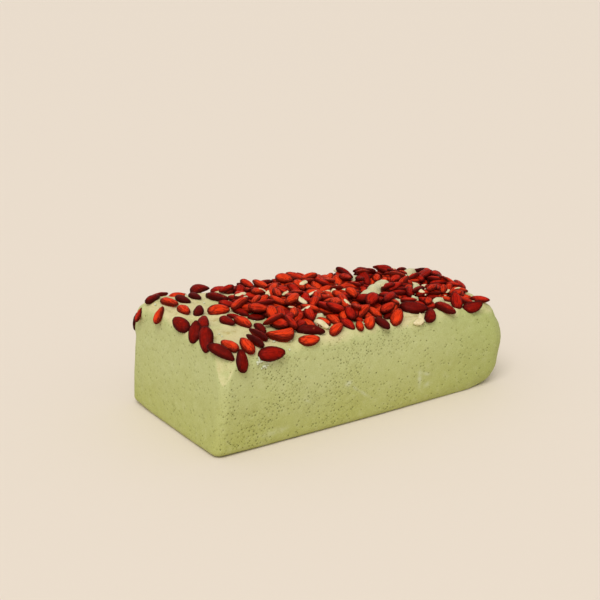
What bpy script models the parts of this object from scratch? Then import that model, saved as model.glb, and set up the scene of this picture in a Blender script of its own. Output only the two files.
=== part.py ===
"""Almond halva: one moulded loaf of pale green halva with whole almonds pressed into its top.

The loaf lies along X with its near end at -X, its long front at -Y and its flat base on Z = 0. The
almonds that lie singly along the rim are a solid each. The close heap between them is one lumpy solid.
"""

import math
import random

import bmesh
import bpy
from mathutils import Matrix, Vector, noise
from mathutils.bvhtree import BVHTree

# The loaf, in metres.
LENGTH = 0.327
WIDTH = 0.163  # at the near end
FAR_END_NARROWER = 0.16  # share of the width that the back loses towards the far end
NEAR_HEIGHT = 0.088  # along the front
FAR_HEIGHT = 0.079
BACK_HIGHER = 0.0135  # how much the top climbs from front to back, at the near end
FAR_BACK_HIGHER = 0.007
CROWN = 0.0035  # rise of the top's middle over its edges
DRAFT = 0.0065  # how far the walls lean in at the top
BULGE = 0.0025  # how far the walls swell at half height
SKEW = -0.002  # how far the back corners lead the front ones
NEAR_EDGE_LEAN = (0.005, -0.0065)  # how far the near front edge leans along and across at the top
FAR_SWELL = (0.007, -0.0025)  # how far the far front corner swells along and across
SWELL_RISE = 1.5  # above 1, the swelling is fullest over half height
UNEVEN = 0.0012  # hand-pressed waviness
UNEVEN_LENGTH = 0.055  # distance from one wave to the next
RIM_RADIUS = 0.010
FOOT_RADIUS = 0.006
FAR_FOOT_RADIUS = 0.024
CORNER_REACH = 0.050  # how far along a wall its corner's radius is felt
CORNER_RADII = {(-1, -1): 0.009, (1, -1): 0.022, (1, 1): 0.037, (-1, 1): 0.016}
FACET_NORMAL = Vector((-0.68, -0.56, 0.48))  # the knocked-off near corner
FACET_DEPTH = 0.0105
LOAF_CUTS = (21, 11, 7)  # faces along X, Y and Z
MIDDLE = (0.0007, 0.0037, 0)  # brings the middle of the whole, almonds included, to the origin

# The almonds, in metres.
ALMOND_WIDTH = 0.56  # share of its length
ALMOND_THICKNESS = 0.34
ALMOND_POINT = 0.30  # how much the tip's half is slimmer than the round half
ALMOND_SEGMENTS = 8
ALMOND_RINGS = 6
CLEARANCE = 0.0004  # gap between solids that touch
SPARE = 1.04  # how much larger an almond is when its neighbours are tested
LIFT_STEP = 0.0005

# The almonds that lie singly, by where each sits on the loaf (mm), the heading of its tip, how far the
# tip points up, how far it is rolled on its side (degrees), and its length (mm).
NEAR_END_ALMONDS = (
    (-158, 58, 90, 20, 55, 0, 15),
    (-157, 79, 78, 20, 80, 0, 18),
    (-147, 58, 99, 25, 5, 0, 20),
    (-135, 68, 99, 10, 0, 0, 20),
    (-139, 41, 99, -80, 0, 0, 23),
    (-123, 45, 99, -80, -5, 0, 20),
    (-155, 27, 97, 40, 35, 0, 20),
    (-136, 19, 98, -95, -5, 10, 20),
    (-126, 10, 98, 50, 15, 0, 19),
    (-152, -7, 97, 95, 15, 0, 24),
    (-149, -29, 94, 50, 48, 0, 22),
    (-136, -17, 96, 57, 15, 0, 22),
    (-148, -46, 92, -116, -38, 0, 27),
    (-113, 77, 97, -5, 0, 75, 20),
    (-92, 73, 98, 20, 0, 50, 25),
    (-108, 50, 98, -90, 0, 0, 19),
    (-93, 35, 98, -65, 0, 0, 26),
    (-109, 4, 97, -8, 0, 30, 22),
    (-113, -18, 95, -85, -5, 10, 20),
    (-102, -27, 94, -85, -8, 0, 23),
    (-146, -67, 85, -55, -22, 0, 27),
    (-137, -64, 89, 98, 8, 0, 22),
    (-136, -78, 82, 70, 60, 0, 21),
    (-124, -70, 89, 85, 22, 0, 22),
    (-113, -66, 90, 100, 12, 45, 23),
    (-105, -57, 91, 103, 12, 45, 23),
    (-106.5, -76.5, 82, -15, 0, 0, 25),
    (-84, -62, 89, 5, 0, 0, 29),
    (-70, 75, 97, 25, 0, 60, 22),
    (-48, 75, 97, -35, 0, 30, 21),
)
FRONT_RIM_ALMONDS = (
    (-65, -74, 84, -10, 0, 0, 21),
    (-56, -65, 87, -30, -5, 20, 26),
    (-32, -70, 85, 25, 15, 0, 21),
    (-23, -53, 88, -90, -10, 0, 20),
    (-16, -65, 86, -80, -20, 0, 18),
    (-7, -71, 84, 60, 15, 0, 16),
    (5, -70, 85, 45, 20, 0, 20),
    (22, -54, 87, -90, -10, 0, 22),
    (16, -73, 84, -90, -15, 0, 20),
    (35, -71, 85, 35, 30, 0, 22),
    (64, -60, 86, -35, -5, 30, 27),
    (72, -73, 82, 40, 20, 0, 21),
    (94, -70, 83, -80, -10, 0, 25),
    (113, -63, 84, 60, 35, 0, 22),
    (124, -73, 81, -20, 10, 25, 21),
    (144, -62, 81, -35, -5, 0, 19),
)
BARE_KERNELS = (
    (-39, -57, 88, -80, -10, 0, 18),
    (57, -74, 80, 30, 20, 0, 17),
)
HIDDEN_RIM_ALMONDS = 9  # along the back and round the far end
SEED = 5

# The close heap of almonds between the single ones, in metres.
HEAP_NEAR = -0.079
HEAP_FAR = 0.136
HEAP_FRONT = -0.040
HEAP_BACK = 0.057
HEAP_CORNER = 0.030
HEAP_RAGGED = 0.004  # how uneven its outline is
HEAP_THICKNESS = 0.0045
HEAP_CREST = 0.002  # how much thicker it is along its middle
HEAP_FAR_THINNER = 0.003
LUMP_HEIGHT = 0.0055
LUMP_SPACING = 0.020
HEAP_CLEARANCE = 0.0005
HEAP_PROBES = [(x, y) for x in (-0.004, 0, 0.004) for y in (-0.004, 0, 0.004)]
HEAP_CUTS = (36, 16, 1)


def smooth_step(low, high, value):
    """0 below low, 1 above high, and a soft S between them."""
    share = min(1.0, max(0.0, (value - low) / (high - low)))
    return share * share * (3 - 2 * share)


def mix(a, b, share):
    return a + (b - a) * share


def rounding_at(place, half):
    """The radii along X, Y and Z by which the box is rounded at a point of its surface."""
    corner = CORNER_RADII[(1 if place.x > 0 else -1, 1 if place.y > 0 else -1)]
    near_an_end = smooth_step(half.x - CORNER_REACH, half.x, abs(place.x))
    near_a_side = smooth_step(half.y - CORNER_REACH, half.y, abs(place.y))
    level = RIM_RADIUS if place.z > 0 else FOOT_RADIUS
    end = RIM_RADIUS if place.z > 0 else mix(FOOT_RADIUS, FAR_FOOT_RADIUS, smooth_step(0, half.x, place.x))
    return Vector((mix(end, corner, near_a_side), mix(level, corner, near_an_end), end))


def rounded(place, half):
    """The point of a rounded box that stands for this point of the sharp box."""
    radii = rounding_at(place, half)
    core = Vector(max(r - h, min(h - r, p)) for p, h, r in zip(place, half, radii))
    out = Vector((p - c) / r for p, c, r in zip(place, core, radii))
    if out.length < 1e-6:
        return place.copy()
    out.normalize()
    return core + Vector(o * r for o, r in zip(out, radii))


def loaf_point(unit):
    """Bends a point of the cube from -1 to 1 to the hand-moulded loaf, standing on Z = 0."""
    half = Vector((LENGTH / 2, WIDTH / 2, NEAR_HEIGHT / 2))
    point = rounded(Vector(u * h for u, h in zip(unit, half)), half)
    along = point.x / LENGTH + 0.5
    across = point.y / half.y
    up = point.z / NEAR_HEIGHT + 0.5
    front = -half.y
    x = point.x * (1 - DRAFT * up / half.x) + SKEW * (across + 1) / 2
    y = point.y * (1 - DRAFT * up / half.y) * (1 + BULGE * math.sin(math.pi * up) / half.y)
    y = front + (y - front) * (1 - FAR_END_NARROWER * along)
    lean = up * (1 - along) * (1 - across) / 2
    swell = math.sin(math.pi * up**SWELL_RISE) ** 2 * smooth_step(0.4, 1, along) * (1 - across) / 2
    x += NEAR_EDGE_LEAN[0] * lean + FAR_SWELL[0] * swell
    y += NEAR_EDGE_LEAN[1] * lean + FAR_SWELL[1] * swell
    climb = mix(BACK_HIGHER, FAR_BACK_HIGHER, along)
    edge_height = mix(NEAR_HEIGHT, FAR_HEIGHT, along) + climb * (across + 1) / 2
    z = up * (edge_height + CROWN * (1 - across * across))
    wave = noise.noise_vector(Vector((x, y, z)) / UNEVEN_LENGTH) * UNEVEN
    return pressed_flat(Vector((x, y, z)) + wave * smooth_step(0, 0.3, up))


def pressed_flat(point):
    """Keeps a point behind the plane of the knocked-off corner."""
    normal = FACET_NORMAL.normalized()
    tip = Vector((DRAFT - LENGTH / 2 + NEAR_EDGE_LEAN[0], DRAFT - WIDTH / 2 + NEAR_EDGE_LEAN[1], NEAR_HEIGHT))
    proud = (point - tip).dot(normal) + FACET_DEPTH
    return point - normal * max(0.0, proud)


def closer_to_the_edges(share):
    """Moves grid lines from the middle of a side towards its rounded ends."""
    return mix(share, math.sin(share * math.pi / 2), 0.6)


def add_object(name, mesh_builder, material, parent, placing=Matrix()):
    mesh = bpy.data.meshes.new(name)
    bmesh.ops.triangulate(mesh_builder, faces=mesh_builder.faces)
    mesh_builder.to_mesh(mesh)
    mesh_builder.free()
    mesh.materials.append(material)
    mesh.shade_smooth()
    mesh.set_sharp_from_angle(angle=math.radians(50))
    piece = bpy.data.objects.new(name, mesh)
    piece.parent = parent
    piece.matrix_local = placing
    parent.users_collection[0].objects.link(piece)
    return piece


def make_material(name, colour, roughness):
    material = bpy.data.materials.new(name)
    material.use_nodes = True
    shader = material.node_tree.nodes["Principled BSDF"]
    shader.inputs["Base Color"].default_value = (*colour, 1)
    shader.inputs["Roughness"].default_value = roughness
    shader.inputs["Metallic"].default_value = 0
    return material


def gridded_cube(cuts):
    """A cube from -1 to 1 whose faces are cut into a grid."""
    builder = bmesh.new()
    bmesh.ops.create_cube(builder, size=2)
    for axis, faces in enumerate(cuts):
        if faces == 1:
            continue
        along_axis = [e for e in builder.edges if abs(e.verts[0].co[axis] - e.verts[1].co[axis]) > 1e-6]
        bmesh.ops.subdivide_edges(builder, edges=along_axis, cuts=faces - 1, use_grid_fill=True)
    return builder


def make_loaf(material, parent):
    builder = gridded_cube(LOAF_CUTS)
    for vertex in builder.verts:
        vertex.co = loaf_point(Vector(closer_to_the_edges(c) for c in vertex.co))
    return add_object("halva_loaf", builder, material, parent)


def almond_builder(length):
    """An almond along X with its flat sides facing Z: a ball drawn out, flattened and slimmed to a tip."""
    builder = bmesh.new()
    bmesh.ops.create_uvsphere(builder, u_segments=ALMOND_SEGMENTS, v_segments=ALMOND_RINGS, radius=0.5)
    for vertex in builder.verts:
        width, height, along = vertex.co
        slim = 1 - ALMOND_POINT * (along + 0.15) * (1.4 if along > 0 else 0.6)
        vertex.co = Vector((along, width * slim * ALMOND_WIDTH, height * slim * ALMOND_THICKNESS)) * length
    bmesh.ops.triangulate(builder, faces=builder.faces)
    builder.verts.ensure_lookup_table()
    return builder


class Resting:
    """Sets almonds down on the loaf and on one another, always with a gap between them."""

    def __init__(self, loaf, heap):
        self.loaf = tree_of(loaf.data.vertices, loaf.data.polygons)
        self.others = [self.loaf, tree_of(heap.data.vertices, heap.data.polygons)]

    def height_over_loaf(self, points):
        lowest = 1.0
        for point in points:
            near, normal, _, _ = self.loaf.find_nearest(point)
            lowest = min(lowest, (point - near).dot(normal))
        return lowest

    def set_down(self, x, y, z, heading, pitch, roll, length):
        seat, normal, _, _ = self.loaf.find_nearest(Vector((x, y, z)) / 1000)
        turn, climb = math.radians(heading), math.radians(pitch)
        tip = Vector((math.cos(turn) * math.cos(climb), math.sin(turn) * math.cos(climb), math.sin(climb)))
        flat = (normal - tip * normal.dot(tip)).normalized()
        pose = Matrix((tip, flat.cross(tip), flat)).transposed() @ Matrix.Rotation(math.radians(roll), 3, "X")
        builder = almond_builder(length / 1000)
        turned = [pose @ vertex.co for vertex in builder.verts]
        faces = [[vertex.index for vertex in face.verts] for face in builder.faces]
        place = seat.copy()
        for _ in range(3):
            place += normal * (CLEARANCE - self.height_over_loaf([place + point for point in turned]))
        while self.touches([place + point * SPARE for point in turned], faces):
            place += normal * LIFT_STEP
        self.others.append(BVHTree.FromPolygons([place + point for point in turned], faces))
        return builder, Matrix.Translation(place) @ pose.to_4x4()

    def touches(self, points, faces):
        tree = BVHTree.FromPolygons(points, faces)
        return any(tree.overlap(other) for other in self.others)


def tree_of(vertices, polygons):
    return BVHTree.FromPolygons([v.co.copy() for v in vertices], [list(p.vertices) for p in polygons])


def top_under(tree, x, y):
    """The height of the loaf's top at a place seen from above, or 0 beside the loaf."""
    place = tree.ray_cast(Vector((x, y, 0.2)), Vector((0, 0, -1)))[0]
    return place.z if place else 0


def make_heap(loaf, material, parent):
    """The lumpy heap, standing just clear of the loaf's top."""
    tree = tree_of(loaf.data.vertices, loaf.data.polygons)
    builder = gridded_cube(HEAP_CUTS)
    half = Vector((HEAP_FAR - HEAP_NEAR, HEAP_BACK - HEAP_FRONT, 0)) / 2
    middle = Vector((HEAP_FAR + HEAP_NEAR, HEAP_BACK + HEAP_FRONT, 0)) / 2
    for vertex in builder.verts:
        plan = Vector((vertex.co.x * half.x, vertex.co.y * half.y))
        core = Vector(max(HEAP_CORNER - h, min(h - HEAP_CORNER, p)) for p, h in zip(plan, half))
        out = plan - core
        if out.length > 1e-6:
            plan = core + out * (max(abs(out.x), abs(out.y)) / out.length)
        edge = max(abs(vertex.co.x), abs(vertex.co.y)) ** 4
        plan += middle.xy
        plan += noise.noise_vector(Vector((*plan, 0)) / LUMP_SPACING).xy * HEAP_RAGGED * 2 * edge
        narrower = FAR_END_NARROWER * (plan.x / LENGTH + 0.5)
        plan.y -= (plan.y + WIDTH / 2) * narrower
        top = max(top_under(tree, plan.x + dx, plan.y + dy) for dx, dy in HEAP_PROBES) + HEAP_CLEARANCE
        nearest = noise.voronoi(Vector((*plan, 0)) / LUMP_SPACING)[0][0]
        lump = LUMP_HEIGHT * math.sqrt(max(0.0, 1 - nearest * nearest * 2))
        rise = HEAP_THICKNESS + lump + HEAP_CREST * (1 - vertex.co.y ** 2) - 0.003 * edge
        rise -= HEAP_FAR_THINNER * smooth_step(0, 1, vertex.co.x)
        vertex.co = Vector((*plan, top + (rise if vertex.co.z > 0 else 0)))
    return add_object("almond_heap", builder, material, parent)


def hidden_rim(count):
    """Rows for the almonds along the back rim and round the far end."""
    chance = random.Random(SEED)
    for i in range(count):
        share = (i + 0.5) / count
        along = mix(-0.040, 0.225, share)
        x = min(along, 0.152)
        back = -WIDTH / 2 + WIDTH * (1 - FAR_END_NARROWER * (x / LENGTH + 0.5))
        y = back - 0.011 - max(0.0, along - x) * 1.2
        heading = chance.uniform(-60, 60) + (90 if along > x else 0)
        yield (x * 1000, y * 1000, 92, heading, chance.uniform(-12, 4), chance.uniform(-15, 15), chance.uniform(20, 24))


def main():
    noise.seed_set(SEED)
    for old in list(bpy.data.objects):
        bpy.data.objects.remove(old)
    collection = bpy.data.collections.new("almond_halva")
    bpy.context.scene.collection.children.link(collection)
    middle = bpy.data.objects.new("middle", None)
    middle.location = MIDDLE
    collection.objects.link(middle)
    halva = make_material("halva", (0.47, 0.46, 0.18), 0.75)
    skin = make_material("almond_skin", (0.36, 0.03, 0.015), 0.35)
    kernel = make_material("almond_kernel", (0.72, 0.62, 0.36), 0.5)
    loaf = make_loaf(halva, middle)
    resting = Resting(loaf, make_heap(loaf, skin, middle))
    rows = (*NEAR_END_ALMONDS, *FRONT_RIM_ALMONDS, *hidden_rim(HIDDEN_RIM_ALMONDS))
    for number, row in enumerate(rows, start=1):
        builder, placing = resting.set_down(*row)
        add_object(f"almond_{number:02d}", builder, skin, middle, placing)
    for number, row in enumerate(BARE_KERNELS, start=1):
        builder, placing = resting.set_down(*row)
        add_object(f"kernel_{number}", builder, kernel, middle, placing)


main()
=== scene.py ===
"""Almond halva: a moulded loaf of pale green halva, its top thickly covered with whole almonds."""

import math
import random

import bmesh
import bpy
import numpy as np
from mathutils import Matrix, Vector, noise
from mathutils.bvhtree import BVHTree


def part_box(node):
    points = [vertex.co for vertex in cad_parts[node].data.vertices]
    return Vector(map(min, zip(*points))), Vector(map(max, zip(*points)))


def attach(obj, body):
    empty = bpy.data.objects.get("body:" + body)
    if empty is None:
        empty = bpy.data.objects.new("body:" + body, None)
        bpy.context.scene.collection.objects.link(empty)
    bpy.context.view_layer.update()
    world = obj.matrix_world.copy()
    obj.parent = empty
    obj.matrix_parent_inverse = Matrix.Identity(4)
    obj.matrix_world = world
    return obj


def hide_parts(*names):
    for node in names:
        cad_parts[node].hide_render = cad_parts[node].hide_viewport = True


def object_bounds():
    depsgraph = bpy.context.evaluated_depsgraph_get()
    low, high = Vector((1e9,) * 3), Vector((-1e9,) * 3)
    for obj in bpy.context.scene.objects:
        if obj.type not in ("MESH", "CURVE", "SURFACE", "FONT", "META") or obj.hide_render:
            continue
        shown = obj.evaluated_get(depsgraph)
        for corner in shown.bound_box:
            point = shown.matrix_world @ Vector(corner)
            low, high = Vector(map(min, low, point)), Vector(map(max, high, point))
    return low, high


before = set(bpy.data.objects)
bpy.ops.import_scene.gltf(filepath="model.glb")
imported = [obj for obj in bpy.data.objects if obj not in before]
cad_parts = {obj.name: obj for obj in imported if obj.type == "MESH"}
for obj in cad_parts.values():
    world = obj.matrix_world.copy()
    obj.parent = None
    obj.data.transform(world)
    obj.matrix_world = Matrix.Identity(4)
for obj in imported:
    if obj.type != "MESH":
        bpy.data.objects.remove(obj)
cad_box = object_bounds()

# The loaf ---------------------------------------------------------------------------------------
# Sesame and pistachio paste, pressed warm into a long mould and turned out on its flat base. Its
# walls are smooth with small air pores, its rims are crumbly, and its top is paler and lumpy.

LENGTH, WIDTH = 0.327, 0.163
FAR_END_NARROWER = 0.16  # share of the width that the back loses towards the far end
NEAR_HEIGHT, FAR_HEIGHT = 0.088, 0.079  # along the front
BACK_HIGHER, FAR_BACK_HIGHER, CROWN = 0.0135, 0.007, 0.0035
DRAFT, BULGE, SKEW = 0.0065, 0.0025, -0.002
NEAR_EDGE_LEAN = (0.005, -0.0065)  # how far the near front edge leans along and across at the top
FAR_SWELL, SWELL_RISE = (0.007, -0.0025), 1.5
UNEVEN, UNEVEN_LENGTH, UNEVEN_SEED = 0.0012, 0.055, 5
RIM_RADIUS, FOOT_RADIUS, FAR_FOOT_RADIUS = 0.010, 0.006, 0.024
CORNER_REACH = 0.050  # how far along a wall its corner's radius is felt
CORNER_RADII = {(-1, -1): 0.009, (1, -1): 0.022, (1, 1): 0.037, (-1, 1): 0.016}
FACET_NORMAL = np.array((-0.68, -0.56, 0.48)) / np.linalg.norm((-0.68, -0.56, 0.48))
FACET_DEPTH = 0.0105  # how much of the near front corner is knocked off
MIDDLE = np.array((0.0007, 0.0037, 0))
LOAF_GRID = (204, 102, 55)  # faces along X, Y and Z, about 1.6 mm each
WALL_LUMPS = ((0.00035, 0.013, 0.0), (0.00012, 0.0045, 7))  # height, distance between them, seed
TOP_LUMPS = ((0.0010, 0.009, 3), (0.0005, 0.0042, 5))
RIM_LUMPS = ((0.0008, 0.007, 9), (0.0003, 0.0035, 8))
MOUND_LUMPS = ((0.0024, 0.007, 13), (0.0012, 0.0035, 14))
SQUEEZED_UP, SQUEEZE_REACH = 0.0016, 0.007  # how the paste rises round a nut pressed into it
PORES, PORE_SEED = 1500, 11
PORE_SIZES = ((0.00060, 0.0004), (0.00054, 0.0006), (0.00046, 0.0008))  # wall left round it, depth
SMALL_PORES_LIKELIER = 1.6
CRUMBS, CRUMBS_THERE = 50, 30  # loose on the near end of the top, and fallen together at one place
CRUMBLED, CRUMBLED_REACH = Vector((-0.114, -0.081, 0.079)), 0.008
CRUMBS_WITHIN = (-0.03, -0.055)  # the scattered ones lie nearer than this along, or than this across
CRUMBS_OVER = 0.07
CRUMB_RADII = (0.0005, 0.0014)
CRUMB_PALENESS = 2
SMEARS = (  # chalky smears on the front: middle along and up, half length and height, slope, strength
    (-0.026, 0.040, 0.0045, 0.0032, -0.2, 2.4), (-0.014, 0.031, 0.013, 0.0016, -0.75, 1.9),
    (0.056, 0.026, 0.003, 0.012, 0.0, 1.3), (0.062, 0.031, 0.009, 0.0022, -0.35, 1.3),
    (0.066, 0.019, 0.006, 0.0035, 0.2, 0.7), (-0.104, 0.013, 0.020, 0.004, 0.05, 0.6),
    (-0.111, 0.078, 0.010, 0.0030, -0.2, 2.0), (-0.070, 0.034, 0.009, 0.0014, -0.6, 0.7),
)
BARE_PATCHES = (  # where the paste swells up bare between the nuts: middle, half length and width, in mm
    (47, -9, 11, 7), (62, 2, 8, 6), (78, 10, 10, 7), (103, -15, 10, 8), (28, 4, 6, 5), (-17, 35, 7, 5),
    (61, -37, 6, 3), (63, 37, 6, 5), (131, 33, 8, 6), (2, 38, 5, 4), (-76, 47, 9, 7), (-82, -27, 6, 5),
    (30, 28, 5, 3), (82, -36, 5, 3), (99, -50, 8, 3), (-97, 13, 4, 4), (-62, 20, 5, 3), (-30, -38, 4, 3),
    (-45, 3, 3, 3), (-28, 46, 5, 3), (112, 18, 5, 5), (88, 40, 5, 4), (22, 50, 5, 4),
)
MOUND = 0.0060  # how high the bare paste swells


def soft_step(low, high, value):
    """0 below low, 1 above high, and a soft S between them."""
    share = np.clip((value - low) / (high - low), 0, 1)
    return share * share * (3 - 2 * share)


def ripple(points, wavelength, seed=0.0):
    """Smooth noise from -1 to 1 at each point."""
    return np.array([noise.noise(Vector(p)) for p in points / wavelength + seed])


def lumps(points, rows, base=0.0):
    """Ripples of several sizes, one on another and on a base height, in metres."""
    return sum((height * ripple(points, distance, seed) for height, distance, seed in rows), base)


def boxed_grid(counts):
    """The surface of a cube from -1 to 1 as a closed grid: its points and its quads."""
    quads = []
    stride = np.array(((counts[1] + 1) * (counts[2] + 1), counts[2] + 1, 1))
    for axis in range(3):
        first, second = (axis + 1) % 3, (axis + 2) % 3
        i, j = np.meshgrid(np.arange(counts[first]), np.arange(counts[second]), indexing="ij")
        for side in (0, counts[axis]):
            ring = ((0, 0), (1, 0), (1, 1), (0, 1)) if side else ((0, 0), (0, 1), (1, 1), (1, 0))
            start = side * stride[axis]
            corners = [start + (i + a) * stride[first] + (j + b) * stride[second] for a, b in ring]
            quads.append(np.stack(corners, -1).reshape(-1, 4))
    places, quads = np.unique(np.concatenate(quads), return_inverse=True)
    lattice = np.stack([places // stride[0], places % stride[0] // stride[1], places % stride[1]], 1)
    return lattice / np.array(counts) * 2 - 1, quads.reshape(-1, 4)


def loaf_surface(unit):
    """Where points of the cube from -1 to 1 lie on the hand-moulded loaf."""
    half = np.array((LENGTH, WIDTH, NEAR_HEIGHT)) / 2
    box = unit * half
    far, back = box[:, 0] > 0, box[:, 1] > 0
    corner = np.where(
        far,
        np.where(back, CORNER_RADII[1, 1], CORNER_RADII[1, -1]),
        np.where(back, CORNER_RADII[-1, 1], CORNER_RADII[-1, -1]),
    )
    end = soft_step(half[0] - CORNER_REACH, half[0], abs(box[:, 0]))
    side = soft_step(half[1] - CORNER_REACH, half[1], abs(box[:, 1]))
    foot = FOOT_RADIUS + (FAR_FOOT_RADIUS - FOOT_RADIUS) * soft_step(0, half[0], box[:, 0])
    level = np.where(box[:, 2] > 0, RIM_RADIUS, FOOT_RADIUS)
    tall = np.where(box[:, 2] > 0, RIM_RADIUS, foot)
    radii = np.stack([tall + (corner - tall) * side, level + (corner - level) * end, tall], 1)
    core = np.clip(box, radii - half, half - radii)
    out = (box - core) / radii
    reach = np.linalg.norm(out, axis=1, keepdims=True)
    point = np.where(reach > 1e-6, core + radii * out / np.maximum(reach, 1e-6), box)
    along, across, up = point[:, 0] / LENGTH + 0.5, point[:, 1] / half[1], point[:, 2] / NEAR_HEIGHT + 0.5
    x = point[:, 0] * (1 - DRAFT * up / half[0]) + SKEW * (across + 1) / 2
    y = point[:, 1] * (1 - DRAFT * up / half[1]) * (1 + BULGE * np.sin(np.pi * up) / half[1])
    y = (y + half[1]) * (1 - FAR_END_NARROWER * along) - half[1]
    lean = up * (1 - along) * (1 - across) / 2
    swell = np.sin(np.pi * up**SWELL_RISE) ** 2 * soft_step(0.4, 1, along) * (1 - across) / 2
    x += NEAR_EDGE_LEAN[0] * lean + FAR_SWELL[0] * swell
    y += NEAR_EDGE_LEAN[1] * lean + FAR_SWELL[1] * swell
    climb = BACK_HIGHER + (FAR_BACK_HIGHER - BACK_HIGHER) * along
    edge = NEAR_HEIGHT + (FAR_HEIGHT - NEAR_HEIGHT) * along + climb * (across + 1) / 2
    bent = np.stack([x, y, up * (edge + CROWN * (1 - across * across))], 1)
    waves = np.array([noise.noise_vector(Vector(p)) for p in bent / UNEVEN_LENGTH])
    bent += waves * UNEVEN * soft_step(0, 0.3, up)[:, None]
    tip = np.array((DRAFT - half[0] + NEAR_EDGE_LEAN[0], DRAFT - half[1] + NEAR_EDGE_LEAN[1], NEAR_HEIGHT))
    proud = (bent - tip) @ FACET_NORMAL + FACET_DEPTH
    return bent - FACET_NORMAL * np.maximum(0, proud)[:, None] + MIDDLE


def floats_on(mesh, name, values):
    """Stores one number for each point of a mesh."""
    layer = mesh.attributes.new(name, "FLOAT", "POINT")
    layer.data.foreach_set("value", np.asarray(values, np.float32))


def normals_of(mesh):
    """The outward direction at each point of a mesh."""
    found = np.empty(len(mesh.vertices) * 3, np.float32)
    mesh.vertex_normals.foreach_get("vector", found)
    return found.reshape(-1, 3).astype(float)


def search_tree(meshes):
    """A tree that finds the nearest place on several meshes."""
    points, faces = [], []
    for mesh in meshes:
        faces += [[len(points) + i for i in face.vertices] for face in mesh.polygons]
        points += [vertex.co.copy() for vertex in mesh.vertices]
    return BVHTree.FromPolygons(points, faces)


SINGLE_ALMONDS = sorted(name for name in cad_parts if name.removeprefix("almond_").isdigit())
BARE_KERNELS = sorted(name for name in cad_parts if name.startswith("kernel_"))

noise.seed_set(UNEVEN_SEED)
unit, quads = boxed_grid(LOAF_GRID)
surface = loaf_surface(unit)
loaf_mesh = bpy.data.meshes.new("loaf")
loaf_mesh.from_pydata(surface.tolist(), [], quads.tolist())
outward = normals_of(loaf_mesh)
topside = soft_step(0.55, 0.9, outward[:, 2])
rim = soft_step(0.1, 0.4, outward[:, 2]) * (1 - soft_step(0.75, 0.95, outward[:, 2]))
relief = (1 - topside) * lumps(surface, WALL_LUMPS)
relief += topside * lumps(surface, TOP_LUMPS)
relief += rim * lumps(surface, RIM_LUMPS)
mounds = np.zeros(len(surface))
for x, y, half_long, half_wide in BARE_PATCHES:
    off_along = (surface[:, 0] * 1000 - x) / (half_long + 1)
    off_across = (surface[:, 1] * 1000 - y) / (half_wide + 1)
    mounds = np.maximum(mounds, soft_step(1.15, 0.45, np.hypot(off_along, off_across)))
mounds *= soft_step(-0.085, -0.03, surface[:, 0])  # none at the near end
relief += topside * mounds * lumps(surface, MOUND_LUMPS, MOUND)
nuts = search_tree(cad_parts[name].data for name in SINGLE_ALMONDS + BARE_KERNELS)
squeezed = np.zeros(len(surface))
for i in np.flatnonzero(outward[:, 2] > -0.1):
    distance = nuts.find_nearest(Vector(surface[i]), SQUEEZE_REACH)[3]
    if distance is not None:
        squeezed[i] = 1 - distance / SQUEEZE_REACH
relief += SQUEEZED_UP * soft_step(0.15, 0.95, squeezed)
relief *= soft_step(0.001, 0.006, surface[:, 2])  # the base stays flat
surface += outward * relief[:, None]
loaf_mesh.vertices.foreach_set("co", surface.astype(np.float32).ravel())

facet = soft_step(0.955, 0.995, outward @ FACET_NORMAL) * (surface[:, 0] < -0.12) * (surface[:, 1] < -0.05)
creamy = outward[:, 2] + 0.22 * ripple(surface, 0.012, 11) + 0.12 * ripple(surface, 0.004, 2)
creamy = soft_step(0, 0.5, creamy - 0.38 - 0.2 * soft_step(0, 0.13, surface[:, 0]))
near_front = (surface[:, 0] < -0.10) * (surface[:, 1] < 0)
near_edge = near_front * soft_step(0.45, 0.95, 2 * outward[:, 0] * outward[:, 1])
facet *= np.clip(0.45 + 1.0 * ripple(surface, 0.005, 17), 0.1, 0.75)
floats_on(loaf_mesh, "creamy", np.maximum(creamy, facet))
floats_on(loaf_mesh, "worn", np.maximum(near_edge, 0.6 * facet) * (0.75 + 0.25 * ripple(surface, 0.006, 4)))
front = soft_step(-0.5, -0.8, outward[:, 1])
near_end = soft_step(-0.5, -0.8, outward[:, 0])
crowd = front * (1.15 - 0.9 * soft_step(-0.04, 0.13, surface[:, 0]))
crowd *= 0.55 + 1.1 * ripple(surface, 0.030, 15)
porous = np.clip(np.maximum(crowd, 0.16 + 0.1 * near_end), 0, 1)
floats_on(loaf_mesh, "porous", porous)
smears = np.zeros(len(surface))
for x, z, length, height, slope, strength in SMEARS:
    along = (surface[:, 0] - x) / length
    over = (surface[:, 2] - z - slope * (surface[:, 0] - x)) / height
    blot = np.exp(-2 * (along**2 + over**2)) * (outward[:, 1] < -0.25)
    smears = np.maximum(smears, blot * strength * (0.6 + 0.9 * ripple(surface, 0.004, 6)))
floats_on(loaf_mesh, "smear", np.clip(np.maximum(smears, 0.9 * mounds * topside), 0, 1))

builder = bmesh.new()
builder.from_mesh(loaf_mesh)
pore = builder.verts.layers.float.new("pore")
builder.faces.ensure_lookup_table()
chance = random.Random(PORE_SEED)
walls = [face for face in builder.faces if abs(face.normal.z) < 0.5 and face.calc_center_median().z > 0.005]
taken, groups = set(), [[] for _ in PORE_SIZES]
while sum(map(len, groups)) < PORES:
    face = chance.choice(walls)
    if chance.random() > porous[face.verts[0].index] or any(edge.index in taken for edge in face.edges):
        continue
    taken.update(edge.index for edge in face.edges)
    groups[int(chance.random() ** SMALL_PORES_LIKELIER * len(PORE_SIZES))].append(face)
for (wall, depth), faces in zip(PORE_SIZES, groups):
    bmesh.ops.inset_individual(builder, faces=faces, thickness=wall, depth=-depth)
    for face in faces:
        # How dark this pore is painted: painted shade in the hole.
        darkness = chance.uniform(0.55, 1)
        for vertex in face.verts:
            vertex[pore] = darkness
pale = builder.verts.layers.float["smear"]
upward = [face for face in builder.faces if face.normal.z > 0]
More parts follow.
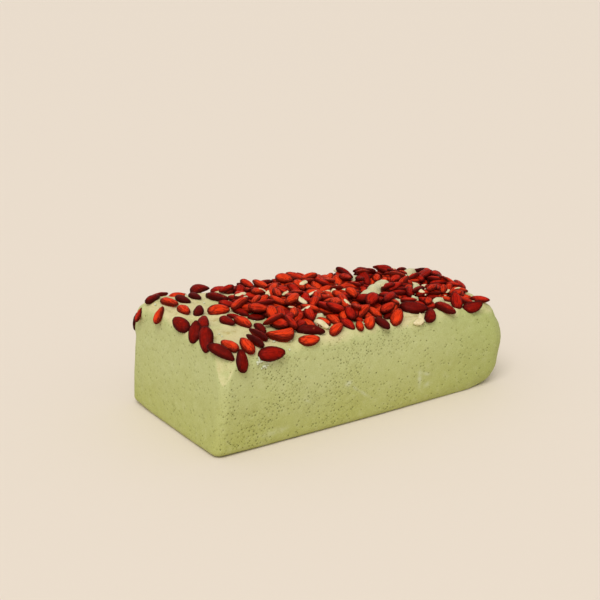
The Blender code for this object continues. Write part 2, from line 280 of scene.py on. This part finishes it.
whole = [face for face in upward if not any(vertex[pore] for vertex in face.verts)]
whole = [(face.calc_center_median(), face.normal.copy()) for face in whole]
spots = [(spot, up) for spot, up in whole if up.z > 0.4 and spot.z > CRUMBS_OVER]
spots = [(spot, up) for spot, up in spots if spot.x < CRUMBS_WITHIN[0] or spot.y < CRUMBS_WITHIN[1]]
under_almond = [(spot, up) for spot, up in whole if (spot - CRUMBLED).length < CRUMBLED_REACH]
for places, count in ((spots, CRUMBS), (under_almond, CRUMBS_THERE)):
    for spot, normal in chance.sample(places, count):
        radius = chance.uniform(*CRUMB_RADII)
        middle = Matrix.Translation(spot + normal * radius * 0.5)
        crumb = bmesh.ops.create_icosphere(builder, subdivisions=1, radius=radius, matrix=middle)
        for vertex in crumb["verts"]:
            vertex.co += Vector([chance.uniform(-0.25, 0.25) * radius for _ in range(3)])
            vertex[pale] = CRUMB_PALENESS
builder.to_mesh(loaf_mesh)
builder.free()
loaf_mesh.shade_smooth()
loaf = bpy.data.objects.new("halva", loaf_mesh)
bpy.context.scene.collection.objects.link(loaf)


class Flow:
    """A socket that numbers or colours flow out of. Arithmetic on it adds Math nodes."""

    def __init__(self, recipe, socket):
        self.recipe, self.socket = recipe, socket

    def math(self, operation, *values, **settings):
        inputs = dict(enumerate(values))
        return self.recipe.add("ShaderNodeMath", {"operation": operation, **settings}, inputs)

    def __add__(self, other):
        return self.math("ADD", self, other)

    def __sub__(self, other):
        return self.math("SUBTRACT", self, other)

    def __rsub__(self, other):
        return self.math("SUBTRACT", other, self)

    def __mul__(self, other):
        return self.math("MULTIPLY", self, other)

    def __truediv__(self, other):
        return self.math("DIVIDE", self, other)

    def __rtruediv__(self, other):
        return self.math("DIVIDE", other, self)

    def __pow__(self, other):
        return self.math("POWER", self, other)

    __radd__ = __add__
    __rmul__ = __mul__

    def held(self):
        """The value kept between 0 and 1."""
        return self.math("ADD", self, 0, use_clamp=True)

    def step(self, low, high):
        """0 below low, 1 above high, with a soft rise between them."""
        sockets = {"Value": self, "From Min": low, "From Max": high}
        return self.recipe.add("ShaderNodeMapRange", {"interpolation_type": "SMOOTHSTEP"}, sockets)


class Recipe:
    """Adds nodes to a shader or a geometry tree."""

    def __init__(self, tree):
        self.tree = tree

    def add(self, kind, settings=(), inputs=(), out=0):
        """A node of this kind with its settings made first, then its sockets set or linked."""
        node = self.tree.nodes.new(kind)
        for name, value in dict(settings).items():
            setattr(node, name, value)
        for key, value in dict(inputs).items():
            if isinstance(value, Flow):
                self.tree.links.new(value.socket, node.inputs[key])
            else:
                node.inputs[key].default_value = value
        return Flow(self, node.outputs[out]) if node.outputs else node

    def blend(self, share, first, second):
        """The first colour with a share of the second mixed in. A colour may be six digits."""
        first, second = ((*shade(c), 1) if isinstance(c, str) else c for c in (first, second))
        return self.add("ShaderNodeMix", {"data_type": "RGBA"}, {0: share, 6: first, 7: second}, out=2)

    def parts(self, vector):
        """The three numbers of a vector."""
        node = self.add("ShaderNodeSeparateXYZ", {}, {0: vector}).socket.node
        return [Flow(self, number) for number in node.outputs]

    def speckle(self, where, scale, detail=2, rough=0.5, distort=0.0):
        """Noise from 0 to 1 with lumps of about 1/scale metres."""
        sockets = {"Scale": scale, "Detail": detail, "Roughness": rough, "Distortion": distort}
        return self.add("ShaderNodeTexNoise", {}, {"Vector": where, **sockets})

    def attribute(self, name, out=2):
        """What the mesh stores under this name: a number, or with out=1 a vector."""
        return self.add("ShaderNodeAttribute", {"attribute_name": name}, {}, out=out)

    def object_place(self):
        """Where a point of the surface lies on the object, in metres."""
        return self.add("ShaderNodeTexCoord", out=3)


def shade(hexadecimal):
    """A colour as the renderer counts it, from its usual six-digit form."""
    parts = [int(hexadecimal[i:i + 2], 16) / 255 for i in (0, 2, 4)]
    return tuple(p / 12.92 if p <= 0.04045 else ((p + 0.055) / 1.055) ** 2.4 for p in parts)


def new_finish(name):
    """An empty material and the recipe that fills it."""
    material = bpy.data.materials.new(name)
    material.use_nodes = True
    material.node_tree.nodes.clear()
    return material, Recipe(material.node_tree)


def surface_from(recipe, sockets):
    """Ends a recipe in a shader with these sockets."""
    shader = recipe.add("ShaderNodeBsdfPrincipled", {}, sockets)
    recipe.add("ShaderNodeOutputMaterial", {}, {"Surface": shader})


paste, recipe = new_finish("pressed halva")
place = recipe.object_place()
along, _, height = recipe.parts(place)
cloud = recipe.speckle(place, 22, 3, 0.6)
mottle = recipe.speckle(place, 130, 4, 0.65)
grain = recipe.speckle(place, 900, 3, 0.7)
# Darker and greener low on the walls: partly the paste's own greener colour, partly painted shade.
level = ((height - 0.004) / 0.06 + (cloud - 0.5) * 0.9).held()
colour = recipe.blend(level, "b0b366", "bbbf83")
# Darker and greener towards the far end: painted shade on the far end of the loaf.
colour = recipe.blend(along.step(0.03, 0.17) * 0.65, colour, "a2ab5e")
colour = recipe.blend(mottle.step(0.52, 0.72) * 0.30, colour, "9f9f58")
colour = recipe.blend(mottle.step(0.48, 0.30) * 0.25, colour, "c8ca96")
cream = recipe.blend(cloud.step(0.42, 0.62), "d8cc9a", "c9c68c")
stain = recipe.speckle(place, 75, 4, 0.7)
cream = recipe.blend(stain.step(0.54, 0.68) * 0.6, cream, "b39c56")
colour = recipe.blend(recipe.attribute("creamy"), colour, cream)
colour = recipe.blend(grain.step(0.52, 0.70) * 0.38, colour, "94924e")
colour = recipe.blend(grain.step(0.48, 0.30) * 0.30, colour, "d3d4a0")
colour = recipe.blend(recipe.attribute("worn") * 0.06, colour, "cfcc9c")
colour = recipe.blend(recipe.attribute("smear") * 0.5, colour, "d6dabd")
# Pores and tiny pore dots are painted dark olive: painted shade in the holes.
specks = recipe.add("ShaderNodeTexVoronoi", {}, {"Vector": place, "Scale": 520, "Randomness": 1})
specks = (1 - specks.step(0.14, 0.30)) * mottle.step(0.42, 0.55)
specks = specks * recipe.attribute("porous").step(0.1, 0.7)
pore_shade = (recipe.attribute("pore") ** 3 + specks * 0.6).held()
colour = recipe.blend(pore_shade * 0.85, colour, "656028")
rise = cloud * 0.2 + mottle * (0.5 + recipe.attribute("creamy") * 0.7) + grain * 0.35 - specks * 0.5
bump = recipe.add("ShaderNodeBump", {}, {"Strength": 0.45, "Distance": 0.0009, "Height": rise})
dull = (0.62 + (mottle - 0.5) * 0.25 + recipe.attribute("pore") * 0.2).held()
surface_from(recipe, {"Base Color": colour, "Roughness": dull, "Normal": bump, "Specular IOR Level": 0.2})
loaf_mesh.materials.append(paste)
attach(loaf, "root")
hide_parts("halva_loaf")

# The single almonds ---------------------------------------------------------------------------------
# Whole almonds in their skins, from red-orange to nearly black. Those on and round the near end and
# along the rims lie singly, each pressed a little way into the warm paste.

ALMOND_WIDTH, ALMOND_THICKNESS = 0.56, 0.34  # shares of its length
SKIN_SHARE = 0.985  # of the solid almond's length
TIP_SLIMMER = 0.27
BALL_SHRINKS = (1.10, 1.04)  # what smoothing takes off the ball across and lengthwise, put back first
PLUMPNESS = (  # how wide, how thick and how bent: four common kinds, then the odd ones
    (1.0, 1.0, 0.0), (0.92, 1.08, 0.04), (1.08, 0.95, -0.03), (1.0, 1.0, 0.07), (0.74, 1.0, 0.05),
    (0.85, 1.0, 0.16), (1.0, 1.0, 0.30), (0.85, 1.0, 0.24),
)
COMMON_KINDS = 4
SLIM_KIND, CURLED_KIND = 4, 7
WRINKLES, WRINKLE_SIZE = 0.00035, 0.0045
RIDGES = 0.0004
NEARLY_BLACK, DEEP, MIDDLING, BRIGHT = (0.0, 0.06), (0.10, 0.24), (0.28, 0.62), (0.8, 1.0)
DARK_SINGLES = {2, 6, 9, 16, 32, 39}  # by number, as are the next three
DEEP_SINGLES = {3, 10, 11, 12, 13, 15, 17, 19, 21, 23, 25, 26, 27, 41, 42, 43, 45}
BRIGHT_SINGLES = {5, 7, 8, 14, 18, 20, 22, 24, 28, 31, 33, 34, 36, 37, 38, 40}
SHAPED_SINGLES = {10: 0, 13: 1, 15: 5, 17: 4, 21: 4, 25: 4, 26: 4, 28: 6, 32: 4}  # to their kinds
SUNK = 0.0010  # how deep the single almonds are pressed into the paste
ALMOND_SEED = 23


def almond_sizes(length):
    """An almond's width, thickness and length."""
    return [length * ALMOND_WIDTH, length * ALMOND_THICKNESS, length]


def lie_of(node):
    """How a solid almond lies: its middle, its axes as columns (across, flat, tip) and its length."""
    points = np.array([vertex.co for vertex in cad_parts[node].data.vertices])
    middle = points.mean(0)
    tip, across = np.linalg.svd(points - middle, full_matrices=False)[2][:2]
    reach = (points - middle) @ tip
    girth = abs((points - middle) @ across)
    far = reach.max() * 0.4
    if girth[reach > far].mean() > girth[reach < -far].mean():
        tip, reach = -tip, -reach
    middle = middle + tip * (reach.max() + reach.min()) / 2
    return middle, np.stack([across, np.cross(tip, across), tip], 1), reach.max() - reach.min()


def multiplied(recipe, vector, factors):
    """A vector with each of its numbers multiplied."""
    return recipe.add("ShaderNodeVectorMath", {"operation": "MULTIPLY"}, {0: vector, 1: factors})


def almonds_tree(name, finish, smoothing, seed):
    """The tree that sets one almond, in a few plumper and slimmer kinds, on every point."""
    tree = bpy.data.node_groups.new(name, "GeometryNodeTree")
    tree.interface.new_socket("Points", in_out="INPUT", socket_type="NodeSocketGeometry")
    for label in ("Tip", "Wrinkles", "Wrinkle size", "Ridges"):
        tree.interface.new_socket(label, in_out="INPUT", socket_type="NodeSocketFloat")
    tree.interface.new_socket("Almonds", in_out="OUTPUT", socket_type="NodeSocketGeometry")
    recipe = Recipe(tree)
    given = tree.nodes.new("NodeGroupInput")
    points, slimmer, depth, fine, ridge = (Flow(recipe, given.outputs[i]) for i in range(5))
    ball = recipe.add("GeometryNodeMeshUVSphere", {}, {"Segments": 8, "Rings": 7, "Radius": 0.5})
    place = recipe.add("GeometryNodeInputPosition")
    store = {"data_type": "FLOAT_VECTOR", "domain": "POINT"}
    stored = {"Geometry": ball, "Name": "grain", "Value": place}
    ball = recipe.add("GeometryNodeStoreNamedAttribute", store, stored)
    x, y, z = recipe.parts(place)
    slim = (1.02 - slimmer * 1.2 * z - 0.35 * z * z) * BALL_SHRINKS[0]
    kinds = recipe.add("GeometryNodeJoinGeometry")
    for wide, thick, bent in reversed(PLUMPNESS):
        sideways = x * slim * wide + bent * (1 - 8 * z * z)
        numbers = {0: sideways, 1: y * slim * thick, 2: z * BALL_SHRINKS[1]}
        spot = recipe.add("ShaderNodeCombineXYZ", {}, numbers)
        shaped = recipe.add("GeometryNodeSetPosition", {}, {"Geometry": ball, "Position": spot})
        one = recipe.add("GeometryNodeGeometryToInstance", {}, {"Geometry": shaped})
        tree.links.new(one.socket, kinds.socket.node.inputs[0])

    def named(label, data_type):
        """What the points or the almonds store under this name."""
        return recipe.add("GeometryNodeInputNamedAttribute", {"data_type": data_type}, {"Name": label})

    size, turn, kind = named("size", "FLOAT_VECTOR"), named("turn", "QUATERNION"), named("kind", "INT")
    laid = recipe.add("GeometryNodeInstanceOnPoints", {}, {
        "Points": points, "Instance": kinds, "Pick Instance": True, "Instance Index": kind,
        "Rotation": turn, "Scale": size,
    })
    real = recipe.add("GeometryNodeRealizeInstances", {}, {"Geometry": laid})
    smooth = recipe.add("GeometryNodeSubdivisionSurface", {}, {"Mesh": real, "Level": smoothing})
    seeded = {"noise_dimensions": "4D"}
    wrinkles = recipe.add("ShaderNodeTexNoise", seeded, {"W": seed, "Scale": 1 / fine, "Detail": 1})
    drawn = multiplied(recipe, named("grain", "FLOAT_VECTOR"), (9, 9, 1))
    own = named("tone", "FLOAT") * 50  # gives each nut ridges of its own
    ridges = recipe.add("ShaderNodeTexNoise", seeded, {"Vector": drawn, "W": own, "Scale": 1, "Detail": 1})
    outwards = recipe.add("GeometryNodeInputNormal")
    proud = (wrinkles - 0.55) * depth * 2 + (ridges - 0.55) * ridge * 2
    push = recipe.add("ShaderNodeVectorMath", {"operation": "SCALE"}, {0: outwards, "Scale": proud})
    lumpy = recipe.add("GeometryNodeSetPosition", {}, {"Geometry": smooth, "Offset": push})
    soft = recipe.add("GeometryNodeSetShadeSmooth", {}, {0: lumpy})
    done = recipe.add("GeometryNodeSetMaterial", {}, {"Geometry": soft, "Material": finish})
    tree.links.new(done.socket, tree.nodes.new("NodeGroupOutput").inputs[0])
    return tree


def spread(name, tree, rows):
    """Runs a tree on one point for each row (middle, axes, sizes, tone, kind) and keeps the plain mesh."""
    points = bpy.data.meshes.new(name + " points")
    points.from_pydata([tuple(row[0]) for row in rows], [], [])
    turns = [Matrix(row[1].tolist()).to_quaternion() for row in rows]
    for label, kind, key, numbers in (
        ("turn", "QUATERNION", "value", [n for turn in turns for n in turn]),
        ("size", "FLOAT_VECTOR", "vector", [n for row in rows for n in row[2]]),
        ("tone", "FLOAT", "value", [row[3] for row in rows]),
        ("kind", "INT", "value", [row[4] for row in rows]),
    ):
        points.attributes.new(label, kind, "POINT").data.foreach_set(key, numbers)
    carrier = bpy.data.objects.new(name + " points", points)
    bpy.context.scene.collection.objects.link(carrier)
    grown = carrier.modifiers.new(name, "NODES")
    grown.node_group = tree
    shape = {"Tip": TIP_SLIMMER, "Wrinkles": WRINKLES, "Wrinkle size": WRINKLE_SIZE, "Ridges": RIDGES}
    for item in tree.interface.items_tree:
        if item.name in shape:
            grown[item.identifier] = shape[item.name]
    mesh = bpy.data.meshes.new_from_object(carrier.evaluated_get(bpy.context.evaluated_depsgraph_get()))
    mesh.name = name
    bpy.data.objects.remove(carrier)
    piece = bpy.data.objects.new(name, mesh)
    bpy.context.scene.collection.objects.link(piece)
    return piece


skin, recipe = new_finish("almond skin")
grain = recipe.attribute("grain", out=1)
wide, _, long = recipe.parts(grain)
tone = recipe.attribute("tone")
place = recipe.object_place()
drawn = multiplied(recipe, grain, (11, 11, 1.1))
shift = recipe.add("ShaderNodeCombineXYZ", {}, {0: tone * 37, 1: tone * 19})
drawn = recipe.add("ShaderNodeVectorMath", {"operation": "ADD"}, {0: drawn, 1: shift})
streak = recipe.speckle(drawn, 1.0, 3, 0.6, 0.35)
blotch = recipe.speckle(place, 240, 2, 0.5)
warmth = (tone + (blotch - 0.5) * 0.30 + (streak - 0.5) * 0.20).held()
colour = recipe.blend(warmth.step(0.0, 0.5), "5a0702", "bc1a07")
colour = recipe.blend(warmth.step(0.42, 1.0), colour, "e83c12")
colour = recipe.blend(streak.step(0.48, 0.61) * 0.60, colour, "520501")
colour = recipe.blend(streak.step(0.44, 0.30) * 0.35 * tone.step(0.2, 0.8), colour, "ee6a36")
# Darker towards each nut's edges and tips: partly the skin's own darker edges, partly painted shade where
# the nut curves away and meets its neighbours.
edge_dark_and_shade = (wide * wide * 4 + long * long * 3.2 + (streak - 0.5) * 0.6).step(0.20, 0.80)
colour = recipe.blend(edge_dark_and_shade * 0.88, colour, "320402")
colour = recipe.blend(blotch.step(0.70, 0.80) * 0.25, colour, "c9774a")
rise = streak * 0.8 + blotch * 0.3
bump = recipe.add("ShaderNodeBump", {}, {"Strength": 0.8, "Distance": 0.0007, "Height": rise})
gloss = (0.44 + (streak - 0.5) * 0.3 + (1 - tone) * 0.06).held()
surface_from(recipe, {"Base Color": colour, "Roughness": gloss, "Normal": bump, "Specular IOR Level": 0.05})

loaf_tree = search_tree([loaf_mesh])
chance = random.Random(ALMOND_SEED)
singles = []
for name in SINGLE_ALMONDS:
    number = int(name.removeprefix("almond_"))
    middle, axes, length = lie_of(name)
    tone = chance.uniform(*MIDDLING)
    if number in DARK_SINGLES:
        tone = chance.uniform(*NEARLY_BLACK)
    elif number in DEEP_SINGLES:
        tone = chance.uniform(*DEEP)
    elif number in BRIGHT_SINGLES:
        tone = chance.uniform(*BRIGHT)
    kind = SHAPED_SINGLES.get(number, chance.randrange(COMMON_KINDS))
    paste_side = Vector(middle) - loaf_tree.find_nearest(Vector(middle))[0]
    middle -= np.array(paste_side.normalized()) * SUNK
    singles.append((middle, axes, almond_sizes(length * SKIN_SHARE), tone, kind))
single_almonds = spread("single_almonds", almonds_tree("Single almonds", skin, 2, 1.0), singles)
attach(single_almonds, "root")
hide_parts(*SINGLE_ALMONDS)

# The heap of almonds ----------------------------------------------------------------------------------
# More of the same almonds, tipped over the top while the paste was warm. They lie close together,
# one on another in places, with patches of bare paste left between them.

HEAPED_FIRST, HEAPED_SECOND = 300, 45  # nuts laid close together, and then scattered over them
FIRST_SPACING, SECOND_SPACING = 0.0088, 0.015
FIRST_RISE, SECOND_RISE, LOOSE_RISE = 0.0100, 0.0135, 0.014  # how high over the paste a nut's top may come
HEAP_MARGINS = (0.009, 0.007, 0.015)  # how far the nuts may stray past the ends, the back and the front
TRIED_PAST, MAPPED_PAST = 0.015, 0.020  # how far past the solid heap nuts are tried and heights known
MOST_TRIES, SECOND_AFTER = 30000, 12000
NUT_LENGTHS, SHORTER_FAR = (0.0165, 0.0225), 0.12  # the share that is lost towards the far end
TILTS = (0, 0, 0, 0.25, -0.25)  # slopes, most nuts lying as their bed does
STEEPEST, STEEPEST_TILTED = 0.42, 0.9
BED, BED_LEVEL = 0.8, 62  # the share of its outline that a nut rests on, and the percentage of it left lower
FEWEST_CELLS = 20
SEAT = 0.46  # height of its middle over its bed, as a share of its thickness
PRESSED_IN = 0.0018
OVERLAP = 0.10  # the share of a heaped nut that may lie over a bare patch or a single nut
CELL = 0.001  # of the grid of heights
ABOVE_ALL = 0.3
TOP_GAP = 0.0005  # left under the top of the solid model
HEAP_STARTERS = (  # the loose nuts along the heap's near side: middle (mm), heading, length (mm), tone
    (-90, 22, -40, 19, 0.35), (-75, 31, -60, 20, 0.50), (-79, 12, -35, 21, 0.30), (-71, 1, -10, 20, 0.85),
    (-89, 0, -70, 18, 0.25), (-57, -7, -40, 25, 0.80), (-55, -21, -50, 22, 0.30), (-69, -17, -60, 22, 0.10),
    (-74, -38, -75, 20, 0.40), (-66, -30, -50, 22, 0.55), (-82, -14, -30, 16, 0.15),
)
HEAP_STRAYS = ((-93, -39, -98, 21, 0.12), (-99, -6, -60, 17, 0.30))  # slim nuts laid last, near the corner


class Heap:
    """The height of everything laid so far, on a grid seen from above, in metres."""

    def __init__(self, low, high, loaf, outline, ceiling):
        self.low, self.ceiling = np.array(low), ceiling
        counts = ((np.array(high) - low) / CELL).astype(int)
        lines = [start + CELL * np.arange(count) for start, count in zip(low, counts)]
        self.x, self.y = np.meshgrid(*lines, indexing="ij")
        down = Vector((0, 0, -1))
        end, back, front = HEAP_MARGINS
        reach = [Vector((x, y, 0)) for x in (-end, 0, end) for y in (-back, 0, front)]
        self.height = np.zeros(self.x.shape)
        self.room = np.zeros(self.x.shape, bool)
        for cell in np.ndindex(self.x.shape):
            above = Vector((self.x[cell], self.y[cell], ABOVE_ALL))
            hit = loaf.ray_cast(above, down)[0]
            self.height[cell] = hit.z if hit else 0
            self.room[cell] = any(outline.ray_cast(above + step, down)[0] for step in reach)
        self.ground = self.height.copy()
        self.bare = np.zeros(self.x.shape, bool)
        for x, y, half_long, half_wide in BARE_PATCHES:
            off_along, off_across = (self.x * 1000 - x) / half_long, (self.y * 1000 - y) / half_wide
            self.bare |= np.hypot(off_along, off_across) < 1

    def window(self, x, y, reach):
        """The part of the grid round a place."""
        i, j = (int(v) for v in (np.array((x, y)) - self.low) / CELL)
        r = int(reach / CELL) + 2
        return slice(max(0, i - r), i + r), slice(max(0, j - r), j + r)

    def has_room(self, x, y):
        """Whether a nut's middle may be here."""
        i, j = ((np.array((x, y)) - self.low) / CELL).astype(int)
        return 0 <= i < self.x.shape[0] and 0 <= j < self.x.shape[1] and self.room[i, j]

    def cover(self, middle, axes, sizes):
        """Raises the heights to the top of a nut laid here."""
        part = self.window(middle[0], middle[1], max(sizes) / 2)
        dx, dy = self.x[part] - middle[0], self.y[part] - middle[1]
        m = axes @ np.diag([4 / s**2 for s in sizes]) @ axes.T
        half_b = m[0, 2] * dx + m[1, 2] * dy
        c = m[0, 0] * dx**2 + 2 * m[0, 1] * dx * dy + m[1, 1] * dy**2 - 1
        under = half_b**2 - m[2, 2] * c
        top = middle[2] + (-half_b + np.sqrt(np.maximum(under, 0))) / m[2, 2]
        self.height[part] = np.where(under > 0, np.maximum(self.height[part], top), self.height[part])

    def lay(self, x, y, heading, sizes, rise, tilt=0.0):
        """Sets one nut down on what lies there, or says no by returning None."""
        width, thickness, length = sizes
        part = self.window(x, y, length / 2)
        dx, dy = self.x[part] - x, self.y[part] - y
        u = dx * math.cos(heading) + dy * math.sin(heading)
        v = dy * math.cos(heading) - dx * math.sin(heading)
        under = (2 * u / length) ** 2 + (2 * v / width) ** 2 < BED
        if under.sum() < FEWEST_CELLS or self.bare[part][under].mean() > OVERLAP:
            return None
        heights = self.height[part][under]
        plane = np.stack([np.ones(under.sum()), u[under], v[under]], 1)
        slope = np.clip(np.linalg.lstsq(plane, heights, rcond=None)[0][1:], -STEEPEST, STEEPEST)
        slope[0] = np.clip(slope[0] + tilt, -STEEPEST_TILTED, STEEPEST_TILTED)
        level = np.percentile(heights - plane[:, 1:] @ slope, BED_LEVEL)
        tip = np.array((math.cos(heading), math.sin(heading), slope[0]))
        tip /= np.linalg.norm(tip)
        side = np.array((-math.sin(heading), math.cos(heading), slope[1]))
        flat = np.cross(tip, side)
        flat /= np.linalg.norm(flat)
        middle = np.array((x, y, level)) + flat * (thickness * SEAT - PRESSED_IN)
        axes = np.stack([np.cross(flat, tip), flat, tip], 1)
        top = middle[2] + np.linalg.norm(axes[2] * np.array(sizes)) / 2
        if top > min(self.ceiling, self.ground[part][under].max() + rise):
            return None
        self.cover(middle, axes, sizes)
        return middle, axes


def lay_loose(heap, row):
    """Lays a nut whose place is listed: its lie, sizes and tone, or None where it won't go."""
    x, y, heading, length, tone = row
    sizes = almond_sizes(length / 1000)
    lie = heap.lay(x / 1000, y / 1000, math.radians(heading), sizes, LOOSE_RISE)
    return (*lie, sizes, tone) if lie else None


def heaped_tone(x, y):
    """A nut's tone: brightest in the heap's middle, patchy, and darker towards the far end."""
    warm = 0.62 + 0.35 * math.exp(-((x + 0.008) / 0.05) ** 2 - ((y + 0.002) / 0.035) ** 2)
    warm += 0.25 * noise.noise(Vector((x, y, 0)) * 22) - 0.08 * float(soft_step(0.03, 0.14, x))
    return min(1, max(0.05, warm + chance.gauss(0, 0.22)))


heap_low, heap_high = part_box("almond_heap")
map_low = (heap_low.x - MAPPED_PAST, heap_low.y - MAPPED_PAST)
map_high = (heap_high.x + MAPPED_PAST, heap_high.y + MAPPED_PAST)
solid_heap = search_tree([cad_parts["almond_heap"].data])
heap = Heap(map_low, map_high, loaf_tree, solid_heap, cad_box[1].z - TOP_GAP)
for middle, axes, length in [lie_of(name) for name in SINGLE_ALMONDS + BARE_KERNELS]:
    heap.cover(middle, axes, almond_sizes(length))
heap.bare |= heap.height > heap.ground
heaped, centres = [], []
for row in HEAP_STARTERS:
    nut = lay_loose(heap, row)
    if nut:
        heaped.append((*nut, chance.randrange(COMMON_KINDS)))
        centres.append((row[0] / 1000, row[1] / 1000))
tries = 0
while len(heaped) < HEAPED_FIRST + HEAPED_SECOND and tries < MOST_TRIES:
    tries += 1
    second = len(heaped) >= HEAPED_FIRST or tries > SECOND_AFTER
    x, y = (chance.uniform(heap_low[i] - TRIED_PAST, heap_high[i] + TRIED_PAST) for i in (0, 1))
    if not heap.has_room(x, y):
        continue
    spacing = SECOND_SPACING if second else FIRST_SPACING
    near = centres[HEAPED_FIRST:] if second else centres
    if any(math.hypot(x - a, y - b) < spacing for a, b in near):
        continue
    sizes = almond_sizes(chance.uniform(*NUT_LENGTHS) * (1 - SHORTER_FAR * float(soft_step(-0.02, 0.12, x))))
    tilt = chance.choice(TILTS) * chance.uniform(0.5, 1.0 if second else 1.5)
    rise = SECOND_RISE if second else FIRST_RISE
    lie = heap.lay(x, y, chance.uniform(0, 2 * math.pi), sizes, rise, tilt)
    if lie:
        heaped.append((*lie, sizes, heaped_tone(x, y), chance.randrange(COMMON_KINDS)))
        centres.append((x, y))
strays = [lay_loose(heap, row) for row in HEAP_STRAYS]
heaped += [(*nut, SLIM_KIND) for nut in strays if nut]
heap_almonds = spread("heap_almonds", almonds_tree("Heaped almonds", skin, 1, 2.0), heaped)
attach(heap_almonds, "root")
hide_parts("almond_heap")

# The bare kernels -------------------------------------------------------------------------------------
# A few almonds have lost their skins, and slivers of others lie between the whole ones: cream,
# smooth and dull, with brown left along an edge here and there.

KERNEL_SHARE = 0.98  # of the solid kernel's length and width
SLIVERS = 32
SLIVER_LENGTHS = (0.008, 0.014)
SLIVER_WIDTH, SLIVER_THICKNESS = 0.42, 0.2  # shares of its length
KERNEL_TONE = 0.5  # only seeds its ridges, as it has no skin to colour
KERNEL_KIND, SLIVER_KIND = 1, 3

cream, recipe = new_finish("bare kernel")
wide, _, _ = recipe.parts(recipe.attribute("grain", out=1))
cloud = recipe.speckle(recipe.object_place(), 260, 3, 0.6)
colour = recipe.blend(cloud.step(0.35, 0.7), "eadcb2", "d2c48e")
colour = recipe.blend((wide - 0.36).step(0, 0.06) * cloud.step(0.4, 0.55), colour, "6b2a12")
bump = recipe.add("ShaderNodeBump", {}, {"Strength": 0.3, "Distance": 0.0004, "Height": cloud})
surface_from(recipe, {"Base Color": colour, "Roughness": 0.5, "Normal": bump, "Specular IOR Level": 0.25})

kernels = []
for name in BARE_KERNELS:
    middle, axes, length = lie_of(name)
    slimmed = length * KERNEL_SHARE
    sizes = [slimmed * ALMOND_WIDTH, length * ALMOND_THICKNESS, slimmed]
    kind = CURLED_KIND if name == "kernel_2" else KERNEL_KIND
    kernels.append((middle, axes, sizes, KERNEL_TONE, kind))
slivers = 0
while slivers < SLIVERS:
    x, y = (chance.uniform(heap_low[i], heap_high[i]) for i in (0, 1))
    if not heap.has_room(x, y):
        continue
    length = chance.uniform(*SLIVER_LENGTHS)
    sizes = [length * SLIVER_WIDTH, length * SLIVER_THICKNESS, length]
    lie = heap.lay(x, y, chance.uniform(0, 2 * math.pi), sizes, SECOND_RISE, chance.uniform(-0.3, 0.3))
    if lie:
        kernels.append((*lie, sizes, KERNEL_TONE, SLIVER_KIND))
        slivers += 1
bare_kernels = spread("bare_kernels", almonds_tree("Bare kernels", cream, 1, 3.0), kernels)
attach(bare_kernels, "root")
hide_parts(*BARE_KERNELS)

# The floor, light and camera --------------------------------------------------------------------------
# The loaf stands on a plain pale floor, in light from all round and one broad lamp high over its near
# front corner. The camera looks down on that corner.

FLOOR_HALF = 60
FLOOR_COLOUR, ROOM_COLOUR, ROOM_STRENGTH = "e9ddcf", "f5f1ea", 0.66
LAMP_DIRECTION, LAMP_STRENGTH, LAMP_SPREAD = (0.43, 0.43, -0.80), 1.7, math.radians(35)
AZIMUTH, ELEVATION, DISTANCE = math.radians(-34.65), math.radians(19.9), 1.1
LENS, TARGET_HEIGHT = 68.8, 0.045
AIM_LEFT, AIM_UP = 0.0201, 0.0446  # how far left of and over the target the camera points

floor_mesh = bpy.data.meshes.new("floor")
floor_corners = [(x * FLOOR_HALF, y * FLOOR_HALF, 0) for x, y in ((-1, -1), (1, -1), (1, 1), (-1, 1))]
floor_mesh.from_pydata(floor_corners, [], [(0, 1, 2, 3)])
floor = bpy.data.objects.new("floor", floor_mesh)
bpy.context.scene.collection.objects.link(floor)
ground, recipe = new_finish("pale floor")
surface_from(recipe, {"Base Color": (*shade(FLOOR_COLOUR), 1), "Roughness": 0.7})
floor_mesh.materials.append(ground)

world = bpy.data.worlds.new("studio")
world.use_nodes = True
background = world.node_tree.nodes["Background"].inputs
background["Color"].default_value = (*shade(ROOM_COLOUR), 1)
background["Strength"].default_value = ROOM_STRENGTH
bpy.context.scene.world = world
key = bpy.data.lights.new("key", "SUN")
key.energy, key.angle = LAMP_STRENGTH, LAMP_SPREAD
lamp = bpy.data.objects.new("key", key)
lamp.rotation_euler = Vector(LAMP_DIRECTION).to_track_quat("-Z", "Y").to_euler()
bpy.context.scene.collection.objects.link(lamp)

lens = bpy.data.cameras.new("camera")
lens.lens = LENS
camera = bpy.data.objects.new("camera", lens)
level = math.cos(ELEVATION)
back = Vector((math.sin(AZIMUTH) * level, -math.cos(AZIMUTH) * level, math.sin(ELEVATION)))
right = Vector((math.cos(AZIMUTH), math.sin(AZIMUTH), 0))
target = Vector(MIDDLE) + Vector((0, 0, TARGET_HEIGHT))
camera.location = target + back * DISTANCE
aim = target - right * AIM_LEFT + back.cross(right) * AIM_UP
camera.rotation_euler = (aim - camera.location).to_track_quat("-Z", "Y").to_euler()
bpy.context.scene.collection.objects.link(camera)
bpy.context.scene.camera = camera
bpy.context.scene.view_settings.view_transform = "Standard"
